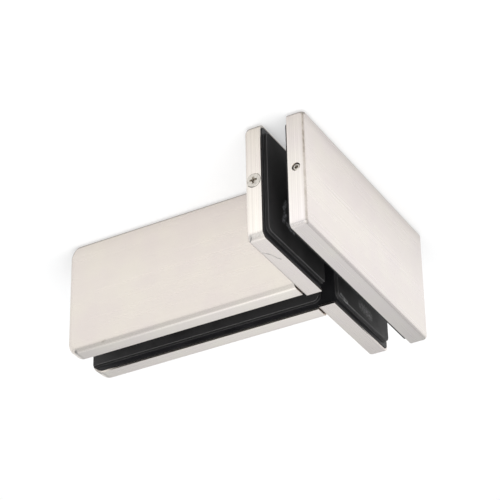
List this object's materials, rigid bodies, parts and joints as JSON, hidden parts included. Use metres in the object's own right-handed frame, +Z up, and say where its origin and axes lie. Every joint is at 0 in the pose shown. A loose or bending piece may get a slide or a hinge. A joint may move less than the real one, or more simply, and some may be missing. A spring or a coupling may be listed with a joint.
{
  "type": "transom panel connector",
  "caption": "T-shaped glass clamp that joins a transom panel to a fin panel, with satin steel covers, black clamp bodies and rubber gaskets.",
  "frame": {"origin": "where the mid-planes of the transom glass and the fin glass cross, at mid-height of the fitting", "axes": "+X along the transom glass, +Y along the fin glass towards the tip of the fin, +Z up"},
  "size_m": [0.1086, 0.135, 0.052],
  "materials": {
    "satin_steel": "satin brushed along each face",
    "black_casting": "black coated casting",
    "black_rubber": "smooth moulded",
    "screw_steel": "turned",
    "black_nylon": "moulded"
  },
  "bodies": {
    "root": {"front_cover": "satin_steel", "rear_cover_right": "satin_steel", "rear_cover_left": "satin_steel", "fin_cover_right": "satin_steel", "fin_cover_left": "satin_steel", "front_clamp_plate": "black_casting", "right_angle_body": "black_casting", "left_angle_body": "black_casting", "front_gasket": "black_rubber", "rear_gasket_right": "black_rubber", "rear_gasket_left": "black_rubber", "fin_gasket_right": "black_rubber", "fin_gasket_left": "black_rubber", "main_clamp_bolts": "screw_steel", "fin_clamp_bolts": "screw_steel", "main_bolt_sleeves": "black_nylon", "fin_bolt_sleeves": "black_nylon", "front_cover_grub_screws": "screw_steel", "rear_cover_screws": "screw_steel", "fin_cover_grub_screws": "screw_steel"}
  },
  "joints": []
}
